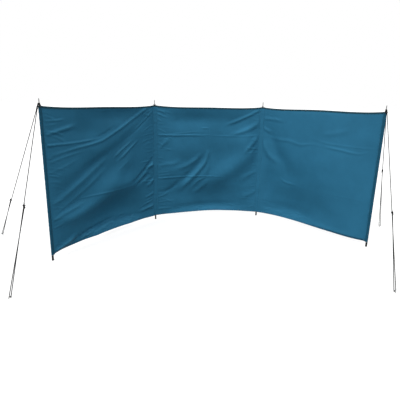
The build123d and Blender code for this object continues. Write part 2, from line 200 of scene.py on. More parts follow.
# ridge: path as (metres along from the bay's left pole, metres down from the top edge), widths in mm
# at its two ends, steepness (negative for a valley) and strength at its two ends
# belly: its middle along and down, its reach along and down, how far it stands forward in mm
# crease: its row, rise in mm, start and end along; an upright crease has its column, rise, top and foot
foldSets = {
    "left": {
        "ridges": [
            ([(1.22, -0.015), (1.1, 0.06), (0.945, 0.145), (0.775, 0.24), (0.6, 0.325), (0.46, 0.355),
              (0.28, 0.378), (0.04, 0.43)], (24, 14), 0.38, (0.6, 0.35)),
            ([(1.0, 0.46), (0.86, 0.62), (0.72, 0.75), (0.56, 0.87)], (100, 80), 0.14, (0, 0)),
            ([(0.04, 0.33), (0.18, 0.325), (0.36, 0.32), (0.5, 0.31), (0.6, 0.295)],
             (14, 12), 0.4, (0.9, 0.1)),
            ([(0.04, 0.235), (0.16, 0.2), (0.34, 0.155)], (18, 30), 0.36, (0.8, 0)),
            ([(0.74, 0.46), (0.6, 0.555), (0.45, 0.645), (0.34, 0.71), (0.2, 0.79), (0.05, 0.865)],
             (40, 30), 0.25, (0.1, 0.5)),
            ([(0.7, 0.58), (0.58, 0.67), (0.44, 0.76), (0.3, 0.84), (0.16, 0.91), (0.04, 0.97)],
             (30, 16), 0.15, (0, 0.5)),
            ([(0.97, 0.36), (0.825, 0.455), (0.7, 0.555)], (14, 16), 0.36, (0.1, 0)),
            ([(1.06, 0.36), (0.93, 0.45), (0.8, 0.555), (0.74, 0.6)], (14, 18), 0.36, (0.1, 0)),
            ([(0.92, 0.57), (0.84, 0.63), (0.76, 0.69)], (16, 18), 0.14, (0, 0)),
            ([(1.26, 0.05), (1.14, 0.15), (1.0, 0.26), (0.88, 0.35)], (11, 14), 0.22, (0.8, 0)),
            ([(1.24, 0.1), (1.08, 0.21), (0.92, 0.32), (0.8, 0.39)], (14, 14), -0.2, (0.7, 0)),
            ([(1.12, 0.16), (0.96, 0.28), (0.8, 0.41), (0.58, 0.53), (0.32, 0.66), (0.06, 0.8)],
             (60, 90), -0.17, (0.3, 0.4)),
            ([(0.04, 0.57), (0.18, 0.53), (0.34, 0.47)], (16, 18), 0.12, (0.8, 0)),
            ([(0.05, 0.48), (0.22, 0.435), (0.42, 0.405)], (16, 14), 0.16, (0.8, 0)),
            ([(0.04, 1.0), (0.15, 0.975), (0.27, 0.945), (0.42, 0.91)], (22, 30), 0.25, (0.7, 0)),
            ([(0.26, 0.87), (0.45, 0.88), (0.7, 0.885), (1.04, 0.88)], (12, 12), 0.2, (0.2, 0.2)),
            ([(0.06, 1.04), (0.28, 1.02), (0.52, 0.93)], (70, 90), 0.2, (0.4, 0)),
            ([(0.0, 1.325), (0.13, 1.288), (0.22, 1.262), (0.3, 1.228)], (24, 40), 0.4, (0.8, 0)),
            ([(1.26, 0.61), (1.16, 0.7), (1.06, 0.79), (0.98, 0.84), (0.9, 0.85)],
             (26, 26), -0.35, (0.5, 0)),
            ([(1.29, 0.68), (1.21, 0.695), (1.14, 0.73)], (30, 16), 0.4, (0.9, 0)),
            ([(1.3, 0.84), (1.21, 0.91), (1.15, 0.94)], (18, 30), 0.35, (0.9, 0)),
            ([(1.2, 0.78), (1.12, 0.83), (1.0, 0.91)], (30, 26), -0.35, (0.5, 0)),
            ([(1.3, 1.02), (1.2, 1.06), (1.13, 1.08)], (18, 18), 0.25, (0.9, 0)),
            ([(1.29, 1.11), (1.19, 1.14), (1.1, 1.17)], (12, 14), 0.14, (0.9, 0)),
            ([(1.26, 1.19), (1.15, 1.215), (1.04, 1.24)], (24, 20), 0.3, (0.9, 0)),
            ([(1.12, 0.75), (0.93, 0.84), (0.72, 0.85), (0.48, 0.99), (0.16, 1.08)],
             (150, 120), 0.24, (0.05, 0.2)),
            ([(0.48, 0.31), (0.62, 0.265), (0.78, 0.18)], (16, 24), -0.15, (0.2, 0)),
            ([(0.5, 1.3), (0.64, 1.27), (0.78, 1.24), (0.88, 1.21)], (16, 26), 0.3, (0.2, 0.2)),
            ([(0.32, 1.31), (0.44, 1.28), (0.56, 1.255)], (14, 18), 0.25, (0.2, 0)),
            ([(0.2, 1.295), (0.35, 1.265), (0.6, 1.25), (0.85, 1.245), (1.08, 1.265)],
             (30, 34), -0.3, (0.3, 0.2)),
        ],
        "bellies": [
            (0.76, 1.12, 0.32, 0.16, -27), (0.68, 1.2, 0.30, 0.10, -13), (0.65, 0.62, 0.6, 0.45, 6),
            (0.3, 1.14, 0.25, 0.13, 8), (0.45, 0.22, 0.2, 0.1, -11), (0.75, 0.1, 0.35, 0.08, -10),
            (0.58, 0.61, 0.22, 0.16, -10), (1.06, 0.62, 0.16, 0.14, 6), (0.2, 0.6, 0.2, 0.18, 6),
        ],
        "creases": [(0.882, 0.9, 0.3, 1.08)],
        "upright": [],
        "crumple": 1.2,
    },
    "middle": {
        "ridges": [
            ([(0.04, 0.34), (0.22, 0.337), (0.42, 0.333), (0.6, 0.342)], (14, 14), 0.3, (0.8, 0.4)),
            ([(0.12, 0.33), (0.34, 0.305), (0.55, 0.285)], (9, 10), 0.24, (0.3, 0.2)),
            ([(0.55, 0.245), (0.635, 0.248)], (10, 12), 0.35, (0.2, 0.8)),
            ([(0.72, 0.345), (0.95, 0.345), (1.27, 0.345)], (14, 8), 0.12, (0.3, 0.8)),
            ([(1.27, 0.01), (1.22, 0.045), (1.04, 0.13), (0.92, 0.18), (0.8, 0.225)],
             (20, 26), 0.3, (0.7, 0)),
            ([(1.27, 0.17), (1.17, 0.235), (1.05, 0.285), (0.9, 0.335)], (44, 26), 0.28, (0.3, 0.1)),
            ([(1.26, 0.5), (1.06, 0.66), (0.86, 0.82), (0.58, 0.96)], (130, 140), 0.18, (0.4, 0.3)),
            ([(1.25, 0.36), (1.19, 0.43), (1.12, 0.51), (1.06, 0.58)], (44, 20), 0.22, (0.8, 0)),
            ([(1.26, 0.46), (1.21, 0.51), (1.14, 0.59)], (14, 20), 0.1, (0.8, 0)),
            ([(0.65, 0.54), (0.61, 0.67), (0.54, 0.77), (0.43, 0.89), (0.34, 0.98), (0.25, 1.06)],
             (30, 44), 0.38, (0.4, 0.1)),
            ([(0.72, 0.6), (0.66, 0.74), (0.56, 0.86), (0.45, 0.97), (0.36, 1.06)],
             (60, 70), 0.13, (0.2, 0.1)),
            ([(0.59, 0.575), (0.53, 0.68), (0.46, 0.765), (0.36, 0.86), (0.26, 0.945)],
             (36, 44), -0.16, (0.3, 0.1)),
            ([(0.3, 0.9), (0.22, 0.98), (0.14, 1.03), (0.03, 1.03)], (36, 20), -0.22, (0.3, 0.8)),
            ([(0.68, 0.86), (0.58, 0.885), (0.5, 0.94), (0.45, 1.02)], (16, 18), 0.18, (0.4, 0)),
            ([(0.66, 0.9), (0.56, 1.01), (0.45, 1.09)], (46, 34), 0.16, (0.3, 0)),
            ([(0.04, 0.72), (0.12, 0.69), (0.22, 0.68), (0.32, 0.64)], (24, 36), 0.16, (0.6, 0)),
            ([(0.24, 0.755), (0.38, 0.71), (0.5, 0.63), (0.58, 0.54)], (40, 30), 0.2, (0.2, 0.1)),
            ([(0.04, 0.87), (0.16, 0.86), (0.4, 0.852), (0.64, 0.855), (0.86, 0.865)],
             (14, 10), 0.25, (0.9, 0.2)),
            ([(0.03, 1.1), (0.1, 1.08), (0.17, 1.03)], (12, 18), 0.2, (0.9, 0)),
            ([(0.03, 1.17), (0.14, 1.16), (0.26, 1.17)], (12, 14), 0.18, (0.9, 0)),
            ([(0.03, 1.25), (0.12, 1.25), (0.22, 1.255)], (16, 16), 0.2, (0.9, 0)),
            ([(0.01, 0.045), (0.08, 0.06), (0.15, 0.08)], (10, 14), 0.4, (0.9, 0)),
            ([(0.02, 0.085), (0.09, 0.11), (0.17, 0.135)], (14, 14), 0.2, (0.9, 0)),
            ([(0.04, 0.51), (0.1, 0.44), (0.18, 0.36)], (16, 40), 0.2, (0.5, 0)),
            ([(1.27, 1.05), (1.18, 1.1), (1.06, 1.15)], (20, 60), 0.14, (0.9, 0)),
            ([(1.26, 0.79), (1.18, 0.83), (1.06, 0.92)], (16, 60), 0.14, (0.8, 0)),
            ([(0.69, 0.6), (0.68, 0.74), (0.64, 0.87)], (20, 40), -0.12, (0.1, 0.3)),
            ([(0.15, 1.26), (0.45, 1.25), (0.8, 1.25), (1.18, 1.24)], (36, 60), -0.13, (0.2, 0.2)),
        ],
        "bellies": [
            (0.45, 0.15, 0.34, 0.09, -14), (0.76, 1.22, 0.3, 0.2, -26),
            (0.14, 1.05, 0.2, 0.13, -12), (0.16, 0.76, 0.2, 0.12, 9), (1.14, 0.43, 0.2, 0.21, 22),
            (0.88, 0.86, 0.28, 0.2, 9), (0.35, 0.5, 0.25, 0.12, 8), (1.0, 0.2, 0.16, 0.12, -8),
        ],
        "creases": [(0.334, 1.9, 0.02, 0.66), (0.338, 1.1, 0.66, 1.28), (0.857, 2.0, 0.03, 0.88)],
        "upright": [(0.645, 1.3, 0.22, 0.92)],
        "crumple": 1.2,
    },
    "right": {
        "ridges": [
            ([(0.01, 0.13), (0.105, 0.125), (0.2, 0.13), (0.3, 0.15)], (26, 22), 0.22, (0.8, 0)),
            ([(0.01, 0.23), (0.07, 0.26), (0.15, 0.295)], (18, 30), 0.26, (0.8, 0.1)),
            ([(0.11, 0.345), (0.25, 0.36), (0.38, 0.365), (0.5, 0.395), (0.62, 0.375), (0.74, 0.385)],
             (26, 16), 0.18, (0.4, 0.2)),
            ([(0.62, 0.305), (0.78, 0.345), (0.95, 0.352), (1.26, 0.36)], (14, 10), 0.15, (0.3, 0.6)),
            ([(0.76, 0.385), (0.94, 0.4), (1.1, 0.42), (1.2, 0.395)], (18, 14), 0.26, (0.2, 0.2)),
            ([(0.03, 0.4), (0.09, 0.52), (0.16, 0.6), (0.28, 0.66)], (36, 46), 0.24, (0.7, 0.1)),
            ([(0.1, 0.22), (0.17, 0.42), (0.26, 0.6), (0.38, 0.74)], (70, 90), -0.23, (0.2, 0.1)),
            ([(0.27, 0.83), (0.35, 0.875), (0.5, 0.885)], (18, 16), 0.24, (0.2, 0.2)),
            ([(0.72, 0.26), (0.88, 0.23), (1.04, 0.17)], (30, 40), 0.1, (0, 0)),
            ([(0.05, 1.23), (0.2, 1.25), (0.4, 1.24)], (30, 30), -0.15, (0.3, 0)),
            ([(0.5, 1.27), (0.6, 1.26), (0.71, 1.27)], (14, 12), 0.14, (0, 0)),
            ([(0.06, 1.2), (0.3, 1.21), (0.55, 1.22), (0.8, 1.22)], (60, 90), -0.16, (0.3, 0)),
        ],
        "bellies": [
            (0.36, 0.66, 0.18, 0.2, -7), (0.65, 0.62, 0.6, 0.45, 19), (0.38, 0.78, 0.14, 0.1, -11),
            (0.45, 1.12, 0.34, 0.2, -22), (0.92, 1.24, 0.45, 0.3, -20), (0.08, 0.95, 0.1, 0.25, -20),
            (0.9, 0.6, 0.4, 0.3, -2),
        ],
        "creases": [(0.9, 0.6, 0.45, 1.27)],
        "upright": [],
        "crumple": 0.4,
    },
}
gathers = {"spacing": 0.042, "length": (0.05, 0.22), "width": (5, 10), "flare": 1.6,
           "steep": (0.05, 0.40), "drop": (-0.3, 0.5), "halfwayDrop": 1 / 3, "strength": (0.9, 0.0),
           "ends": {"left": (0.75, 0.8), "middle": (0.8, 0.5), "right": (0.3, 0.05)}}
ripples = {"count": 30, "up": (0.015, 0.095), "length": (0.03, 0.10), "slant": 0.45, "width": (6, 10),
           "steep": (0.12, 0.42), "strength": (0.3, 0.0),
           "reach": {"left": (0.30, 1.15, 1.4), "middle": (0.22, 1.12, 0.7), "right": (0.12, 0.62, 0.95)}}
crumples = {"count": 32, "length": (0.05, 0.28), "height": (0.35, 1.05), "lean": (-0.75, 0.55),
            "patchSlant": 0.7, "patchPitch": 3.1}
creaseShape = {"width": 5 * mm, "fade": 0.05, "even": 0.7, "uneven": 0.3,
               "alongPitch": 9.0, "rowShift": 40, "downPitch": 11.0, "columnShift": 20}
foldGain = {"left": 1.9, "middle": 1.5, "right": 1.15}
ridgeShape = {"slim": 0.85, "dotGap": 0.5, "startRun": 0.3, "endRun": 0.4,
              "dipReach": 2.2, "dip": -0.14}  # cloth dips beside a ridge
foldFree = {"pole": 10 * mm, "side": 0.03, "wide": 0.8}  # flat at a pole; wide folds start slowly
hemStiff = {"topShare": 0.15, "topRun": 0.05, "footShare": 0.8, "footRun": 0.08}  # stiff hems
# the hem leans out or in: band above the edge, places along, lean of the edge in mm
hemTurns = {
    "left": [(0.034, (0.0, 0.12, 0.36), (-18, -18, 0)),
             (0.08, (0.36, 0.5, 0.92, 1.12), (0, 28, 30, 8))],
    "middle": [(0.05, (0.12, 0.26, 0.88, 1.1), (0, 11, 11, 0))],
    "right": [(0.026, (0.60, 0.95, 1.3), (0, -13, -13)),
              (0.05, (0.02, 0.15, 0.4, 0.55), (0, 6, 6, 0))],
}


def gatherRidges(bay):  # short gathers where the cloth is sewn to the pockets
    plan = plans[bay]
    ridges = []
    for x, way, amount in zip((plan["firstX"], plan["lastX"]), (1, -1), gathers["ends"][bay]):
        for i in range(int(clothHeight / gathers["spacing"])):
            down = (i + rng.uniform(0.0, 1.0)) * gathers["spacing"]
            length = rng.uniform(*gathers["length"])
            drop = rng.uniform(*gathers["drop"]) * length
            steep = rng.uniform(*gathers["steep"]) * amount
            width = rng.uniform(*gathers["width"])
            halfway = (x + way * length / 2, down + drop * gathers["halfwayDrop"])
            path = [(x, down), halfway, (x + way * length, down + drop)]
            ridges.append((path, (width, gathers["flare"] * width), steep, gathers["strength"]))
    return ridges


def hemRipples(bay):  # small wrinkles along the bottom edge
    first, last, amount = ripples["reach"][bay]
    ridges = []
    for _ in range(ripples["count"]):
        x, down = rng.uniform(first, last), clothHeight - rng.uniform(*ripples["up"])
        half = rng.uniform(*ripples["length"]) / 2
        rise = rng.uniform(-1, 1) * ripples["slant"] * half
        width = rng.uniform(*ripples["width"])
        path = [(x - half, down + rise), (x, down), (x + half, down - rise)]
        steep = amount * rng.uniform(*ripples["steep"])
        ridges.append((path, (width, width), steep, ripples["strength"]))
    return ridges


def crumpleSet(bay):  # small waves all over the cloth
    waves = []
    for _ in range(crumples["count"]):
        length = rng.uniform(*crumples["length"])
        height = foldSets[bay]["crumple"] * length * rng.uniform(*crumples["height"]) * mm
        lean = rng.normal(*crumples["lean"])
        waves.append((2 * math.pi / length, lean, rng.uniform(0, 2 * math.pi), height))
    return waves


def foldDots(bay):
    # every fold as a run of round swellings: along, down, reach along, reach down, rise
    gain, slim = foldGain[bay], ridgeShape["slim"]
    rows = [(*place, gain * rise * mm) for *place, rise in foldSets[bay]["bellies"]]
    for path, (firstWidth, lastWidth), steep, (startStrength, endStrength) in foldSets[bay]["ridges"]:
        line = evenPath(smoothPath(path), ridgeShape["dotGap"] * slim * min(firstWidth, lastWidth) * mm)
        gap = np.linalg.norm(line[1] - line[0])
        place = np.linspace(0, 1, len(line))
        width = slim * (firstWidth + (lastWidth - firstWidth) * place) * mm
        strength = startStrength + (1 - startStrength) * smoothStep(place / ridgeShape["startRun"])
        strength *= endStrength + (1 - endStrength) * smoothStep((1 - place) / ridgeShape["endRun"])
        rise = gain * steep * strength * gap / math.sqrt(math.pi)
        rows += zip(line[:, 0], line[:, 1], width, width, rise)
        dipReach = ridgeShape["dipReach"] * width
        rows += zip(line[:, 0], line[:, 1], dipReach, dipReach, ridgeShape["dip"] * rise)
    return np.array(rows)


for bay in bays:
    foldSets[bay]["ridges"] += gatherRidges(bay) + hemRipples(bay)
    foldSets[bay]["waves"] = crumpleSet(bay)
    foldSets[bay]["dots"] = foldDots(bay)


def stretch(value, first, last):  # 1 between two places, fading outside
    fade = creaseShape["fade"]
    return smoothStep((value - first) / fade + 0.5) * smoothStep((last - value) / fade + 0.5)


def foldHeight(bay, xs, downs):  # toward the viewer, in metres, on a grid of places along and down
    folds, plan = foldSets[bay], plans[bay]
    x, down = xs[:, None], downs[None, :]
    dots = folds["dots"]
    edge = np.minimum(x, plan["chord"] - x) - foldFree["pole"]
    wide = np.exp(-((x - dots[:, 0]) / dots[:, 2]) ** 2) * dots[:, 4]
    wide *= smoothStep(edge / (foldFree["side"] + foldFree["wide"] * dots[:, 2]))
    high = np.exp(-((downs[:, None] - dots[:, 1]) / dots[:, 3]) ** 2)
    height = wide @ high.T
    crease = creaseShape
    for row, rise, first, last in folds["creases"]:
        wave = np.sin(x * crease["alongPitch"] + row * crease["rowShift"])
        amount = rise * mm * (crease["even"] + crease["uneven"] * wave) * stretch(x, first, last)
        height += amount * np.exp(-np.abs(down - row) / crease["width"])
    for column, rise, first, last in folds["upright"]:
        wave = np.sin(down * crease["downPitch"] + column * crease["columnShift"])
        amount = rise * mm * (crease["even"] + crease["uneven"] * wave) * stretch(down, first, last)
        height += amount * np.exp(-np.abs(x - column) / crease["width"])
    for pitch, lean, phase, rise in folds["waves"]:
        ramp = x * math.cos(lean) + down * math.sin(lean)
        patch = (x - crumples["patchSlant"] * down) * crumples["patchPitch"] + 2 * phase
        height += rise * np.sin(ramp * pitch + phase) * np.sin(patch)
    topShare, footShare = hemStiff["topShare"], hemStiff["footShare"]
    height *= topShare + (1 - topShare) * smoothStep(down / hemStiff["topRun"])
    height *= footShare + (1 - footShare) * smoothStep((clothHeight - down) / hemStiff["footRun"])
    for band, places, leans in hemTurns[bay]:
        height += np.interp(x, places, leans) * mm * np.clip(1 - (clothHeight - down) / band, 0, 1)
    return height * smoothStep(edge / foldFree["side"])


def clothPoints(bay, xs, downs, lift=0.0):
    # middle surface of a bay's cloth, moved toward the viewer by lift
    plan = plans[bay]
    x, share = xs[:, None], downs[None, :] / clothHeight
    top = np.interp(xs, plan["topX"], plan["topEdge"])[:, None]
    z = top + (plan["bottomZ"] - top) * share
    bow = np.polyval(plan["topBow"], x) * (1 - share) + np.polyval(plan["bottomBow"], x) * share
    y = bow - foldHeight(bay, xs, downs) - lift
    flat = plan["start"] + (x + 0 * y)[..., None] * plan["along"]
    return flat + y[..., None] * plan["back"] + z[..., None] * upward


# cloth panels, hems and pole pockets

panelCloth = {"thickness": 0.5 * mm, "step": 7.2 * mm, "tuck": 6 * mm, "hemTuck": 2.5 * mm,
              "foldTone": 2.2 * mm, "averaging": 4, "sewnIn": 0.02}
pieces = {}


def makePanel(bay):
    plan = plans[bay]
    folds = foldSets[bay]
    step, tuck, hemTuck = panelCloth["step"], panelCloth["tuck"], panelCloth["hemTuck"]
    columns = [crease[0] for crease in folds["upright"]]
    rows = [crease[0] for crease in folds["creases"]]
    xs = spacedLine(plan["firstX"] - tuck, plan["lastX"] + tuck, step, columns)
    downs = spacedLine(hemTuck, clothHeight - hemTuck, step, rows)[::-1]
    points = clothPoints(bay, xs, downs)
    relief = foldHeight(bay, xs, downs)
    around = relief
    for _ in range(panelCloth["averaging"]):  # local average, to find what stands proud
        padded = np.pad(around, 1, mode="edge")
        around = (padded[:-2, 1:-1] + padded[2:, 1:-1] + padded[1:-1, :-2] + padded[1:-1, 2:]) / 4
    # what stands proud gets painted highlight, what lies in a hollow painted shade; the back face gets the
    # opposite sign
    proud = np.clip((relief - around) / panelCloth["foldTone"], -1, 1).ravel()
    uv = np.stack(np.meshgrid(xs, clothHeight - downs, indexing="ij"), -1)
    verts, faces, places = clothShell([points], [uv], panelCloth["thickness"])
    return newPiece(bay + "_cloth", verts, faces, places, np.concatenate([proud, -proud]))


hemCloth = {"thickness": 0.5 * mm, "spread": 0.95 * mm, "pinch": 0.6 * mm, "stitchIn": 3.0 * mm,
            "stitchReach": 1.6 * mm, "step": 7.2 * mm, "endGap": 0.4 * mm,
            "leg": (1.0, 0.93, 0.835, 0.72, 0.5, 0.28, 0.12, 0.045),  # shares of the hem's depth
            "fold": (0.012, 0.0, 0.012), "foldSpread": (0.75, 0.0, -0.75),
            "puff": 0.25, "puffPitches": (310.0, 47.0)}


def hemGrid(bay, edge, depth):
    # one strip folded over a raw edge: front leg, fold, back leg. edge is 0 at the top, 1 at the bottom
    plan, spread, endGap = plans[bay], hemCloth["spread"], hemCloth["endGap"]
    xs = spacedLine(plan["firstX"] + endGap, plan["lastX"] - endGap, hemCloth["step"])
    inside = np.array(hemCloth["leg"])
    stitched = np.exp(-((inside * depth - depth + hemCloth["stitchIn"]) / hemCloth["stitchReach"]) ** 2)
    lift = spread + (hemCloth["pinch"] - spread) * stitched
    depths = np.concatenate([inside, np.array(hemCloth["fold"]), inside[::-1]]) * depth
    lifts = np.concatenate([lift, np.array(hemCloth["foldSpread"]) * spread, -lift[::-1]])
    if edge:
        depths, lifts = clothHeight - depths, -lifts
    shortPitch, longPitch = hemCloth["puffPitches"]
    puff = 1 + hemCloth["puff"] * np.sin(xs * shortPitch) * np.sin(xs * longPitch)
    points = clothPoints(bay, xs, depths, lifts[None, :] * puff[:, None])
    run = np.cumsum(np.abs(np.diff(depths, prepend=depths[0])))
    return points, np.stack(np.meshgrid(xs, run, indexing="ij"), -1)


def makeHem(bay, edge):
    depth = plans[bay]["bottomHem" if edge else "topHem"]
    points, uv = hemGrid(bay, edge, depth)
    name = bay + ("_lower_hem" if edge else "_upper_hem")
    return newPiece(name, *clothShell([points], [uv], hemCloth["thickness"]))


# shade and shadeFade: how far round the pole the painted shade on end pockets reaches, and its fade
pocketCloth = {"radius": 9.3 * mm, "gap": 1.2 * mm, "thickness": 0.6 * mm, "step": 1.9 * mm,
               "rowStep": 6.5 * mm, "fineStep": 0.4 * mm, "rounding": 12, "endArc": 40, "cornerArc": 24,
               "stitchIn": 5.0 * mm, "edge": 0.6 * mm, "bandLift": 0.7 * mm,
               "shade": 14 * mm, "shadeFade": 6 * mm}
pocketRipple = {"rise": 0.7 * mm, "waves": 9, "length": (0.02, 0.09), "strength": (0.2, 1), "turn": (0, 6.3),
                "slant": (-3, 3), "spread": 3, "base": 0.45, "most": 1.4, "rim": 0.04, "rimPower": 0.7}


def tailsOf(pole):
    # directions in which cloth leaves a pole, each with its windward side
    tails = []
    for bay, (first, last) in bays.items():
        if pole in (first, last):
            way = 1 if pole == first else -1
            tails.append((way * plans[bay]["along"][:2], plans[bay]["back"][:2]))
    return tails


def tailReach(pole, way):  # how far the sewn cloth goes out from the pole
    return float(np.max((meshPoints(pole + "_pocket") - poleFoot(pole))[:, :2] @ way))


def tangentRun(way, side, tail):
    # from the sewn end of a tail to where its cloth meets the round of the pole
    gap, radius = pocketCloth["gap"], pocketCloth["radius"]
    touch = math.atan2(gap, tail) + math.acos(radius / math.hypot(gap, tail))
    return way * tail + side * gap, radius * (math.cos(touch) * way + math.sin(touch) * side)


def turned(vector, angle):
    return np.array([vector[0] * math.cos(angle) - vector[1] * math.sin(angle),
                     vector[0] * math.sin(angle) + vector[1] * math.cos(angle)])


def angleFrom(base, vector):
    return math.atan2(base[0] * vector[1] - base[1] * vector[0], base @ vector)


def pocketOutlines(pole):
    radius = pocketCloth["radius"]
    tails = tailsOf(pole)
    outlines = []
    if len(tails) == 1:
        way, back = tails[0]
        tail = tailReach(pole, way)
        frontEnd, frontTouch = tangentRun(way, -back, tail)
        backEnd, _ = tangentRun(way, back, tail)
        first = angleFrom(-way, frontTouch)
        arc = [radius * turned(-way, angle) for angle in np.linspace(first, -first, pocketCloth["endArc"])]
        outlines.append(np.array([frontEnd, *arc, backEnd]))
    else:
        (firstWay, firstBack), (lastWay, lastBack) = tails
        for side in (-1, 1):
            outward = unit(side * (firstBack + lastBack))
            firstEnd, firstTouch = tangentRun(firstWay, side * firstBack, tailReach(pole, firstWay))
            lastEnd, lastTouch = tangentRun(lastWay, side * lastBack, tailReach(pole, lastWay))
            a, b = angleFrom(outward, firstTouch), angleFrom(outward, lastTouch)
            if (a - b) * angleFrom(outward, firstWay) > 0:
                angles = np.linspace(a, b, pocketCloth["cornerArc"])
                arc = [radius * turned(outward, angle) for angle in angles]
            else:  # the inside of the corner only touches the pole
                arc = [radius / math.cos((a - b) / 2) * turned(outward, (a + b) / 2)]
            outlines.append(np.array([firstEnd, *arc, lastEnd]))
    return outlines


def tailSway(pole, spots, heights):  # the bays' folds, carried on over a pocket's tails
    sway = np.zeros((len(spots), len(heights), 3))
    for bay, ends in bays.items():
        if pole in ends:
            plan, first = plans[bay], pole == ends[0]
            out = spots @ plan["along"][:2] + (0 if first else plan["chord"])
            top = plan["topEdge"][0 if first else -1]
            downs = clothHeight * (top - heights) / (top - plan["bottomZ"])
            sway -= foldHeight(bay, out, downs)[..., None] * plan["back"]
    return sway


def pocketLine(outline):  # evenly spaced round the pole, rounded off, outer face outward
    line = evenPath(outline, pocketCloth["fineStep"])
    for _ in range(pocketCloth["rounding"]):
        line[1:-1] = (line[:-2] + line[1:-1] * 2 + line[2:]) / 4
    line = evenPath(line, pocketCloth["step"])
    middle = len(line) // 2
    step = line[middle + 1] - line[middle - 1]
    if step[1] * line[middle][0] - step[0] * line[middle][1] < 0:
        line = line[::-1]
    return line


def rippleHeight(s, z):  # small sideways ripples of a pocket, on its share across and its height
    ripple = np.zeros(s.shape)
    for _ in range(pocketRipple["waves"]):
        pitch = 2 * math.pi / rng.uniform(*pocketRipple["length"])
        strength = rng.uniform(*pocketRipple["strength"])
        turn = rng.uniform(*pocketRipple["turn"])
        ripple += strength * np.sin(z * pitch + turn + s * rng.uniform(*pocketRipple["slant"]))
    ripple = np.clip(ripple / pocketRipple["spread"] + pocketRipple["base"], 0, pocketRipple["most"])
    across = np.clip(s, pocketRipple["rim"], 1 - pocketRipple["rim"])
    return ripple * np.sin(math.pi * across) ** pocketRipple["rimPower"] * pocketRipple["rise"]


def makePocket(pole):
    centre = poleFoot(pole)
    low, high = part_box(pole + "_pocket")
    rows = spacedLine(low.z + pocketCloth["edge"], high.z - pocketCloth["edge"], pocketCloth["rowStep"])
    grids, uvs, tones, width = [], [], [], 0.0
    for outline in pocketOutlines(pole):
        line = pocketLine(outline)
        run = np.linspace(0, 1, len(line))
        length = np.sum(np.linalg.norm(np.diff(line, axis=0), axis=1))
        s, z = np.meshgrid(run, rows, indexing="ij")
        flat = np.concatenate([line + centre[:2], np.zeros((len(line), 1))], 1)
        points = flat[:, None, :] + z[..., None] * upward + tailSway(pole, line, rows)
        band = smoothStep((z - high.z + plans["middle"]["topHem"]) / mm) * pocketCloth["bandLift"]
        points += gridNormals(points) * (rippleHeight(s, z) + band)[..., None]
        grids.append(points)
        # painted shade over the pole's round, fading to the plain cloth colour out on the tails
        tail = smoothStep((np.linalg.norm(line, axis=1) - pocketCloth["shade"]) / pocketCloth["shadeFade"])
        tones += [np.repeat(tail, len(rows))] * 2
        uvs.append(np.stack([width + s * length, z], -1))
        width += length
    shell = clothShell(grids, uvs, pocketCloth["thickness"])
    return newPiece(pole + "_sleeve", *shell, np.concatenate(tones)), width, float(high.z - low.z)


thread = {"length": 3.1 * mm, "pitch": 4.2 * mm, "width": 0.34 * mm, "height": 0.3 * mm, "endGap": 3 * mm,
          "lift": 0.1 * mm,
          "section": ((-1, -0.4), (1, -0.4), (0.6, 0.6), (-0.6, 0.6))}  # shares of its width and height
threadFaces = ((0, 1, 5, 4), (1, 2, 6, 5), (2, 3, 7, 6), (3, 0, 4, 7), (3, 2, 1, 0), (4, 5, 6, 7))


def stitchBars(centres, outward):
    # a row of short thread bars along a seam
    ways = np.gradient(centres, axis=0)
    ways /= np.linalg.norm(ways, axis=1, keepdims=True)
    sides = np.cross(ways, outward)
    verts = []
    for end in (-0.5, 0.5):
        for side, lift in thread["section"]:
            verts.append(centres + ways * end * thread["length"] + sides * side * thread["width"]
                         + outward * lift * thread["height"])
    verts = np.stack(verts, 1).reshape(-1, 3)
    corners = 2 * len(thread["section"])
    bars = corners * np.arange(len(centres))[:, None, None]
    return verts, (np.array(threadFaces)[None] + bars).reshape(-1, 4)


def joinBars(name, rows):
    verts, faces, base = [], [], 0
    for centres, outward in rows:
        barVerts, barFaces = stitchBars(centres, outward)
        verts.append(barVerts)
        faces.append(barFaces + base)
        base += len(barVerts)
    return newPiece(name, np.vstack(verts), [np.vstack(faces)])


def hemStitching(bay):
    plan = plans[bay]
    xs = np.arange(plan["firstX"] + thread["endGap"], plan["lastX"] - thread["endGap"], thread["pitch"])
    rows = []
    upper = plan["topHem"] - hemCloth["stitchIn"]
    lower = clothHeight - plan["bottomHem"] + hemCloth["stitchIn"]
    lift = hemCloth["pinch"] + hemCloth["thickness"] / 2
    for down in (upper, lower):
        for side in (1, -1):
            centres = clothPoints(bay, xs, np.array([down]), side * lift)[:, 0]
            rows.append((centres, np.broadcast_to(-side * plan["back"], centres.shape)))
    return joinBars(bay + "_hem_stitching", rows)


def pocketStitching(pole):
    centre = poleFoot(pole)
    low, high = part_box(pole + "_pocket")
    z = np.arange(low.z + thread["endGap"], high.z - thread["endGap"], thread["pitch"])
    rows = []
    for way, back in tailsOf(pole):
        for side in (-1, 1):
            sewn, touch = tangentRun(way, side * back, tailReach(pole, way))
            run = unit(touch - sewn)
            outward = np.array([-run[1], run[0], 0.0])
            outward *= np.sign(outward[:2] @ (side * back))
            place = sewn + run * pocketCloth["stitchIn"]
            centres = np.array([*(place + centre[:2]), 0.0]) + z[:, None] * upward
            centres = centres + tailSway(pole, place[None], z)[0]
            centres = centres + outward * (pocketCloth["thickness"] / 2 + thread["lift"])
            rows.append((centres, np.broadcast_to(outward, centres.shape)))
    return joinBars(pole + "_seam_stitching", rows)


for bay in bays:
    pieces[bay + "_cloth"] = makePanel(bay)
    pieces[bay + "_upper_hem"] = makeHem(bay, 0)
    pieces[bay + "_lower_hem"] = makeHem(bay, 1)
    pieces[bay + "_hem_stitching"] = hemStitching(bay)
    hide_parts(bay + "_panel")
    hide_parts(bay + "_top_hem")
    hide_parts(bay + "_bottom_hem")
    print(bay, "bay sewn:", len(pieces[bay + "_cloth"].data.polygons), "faces of cloth")

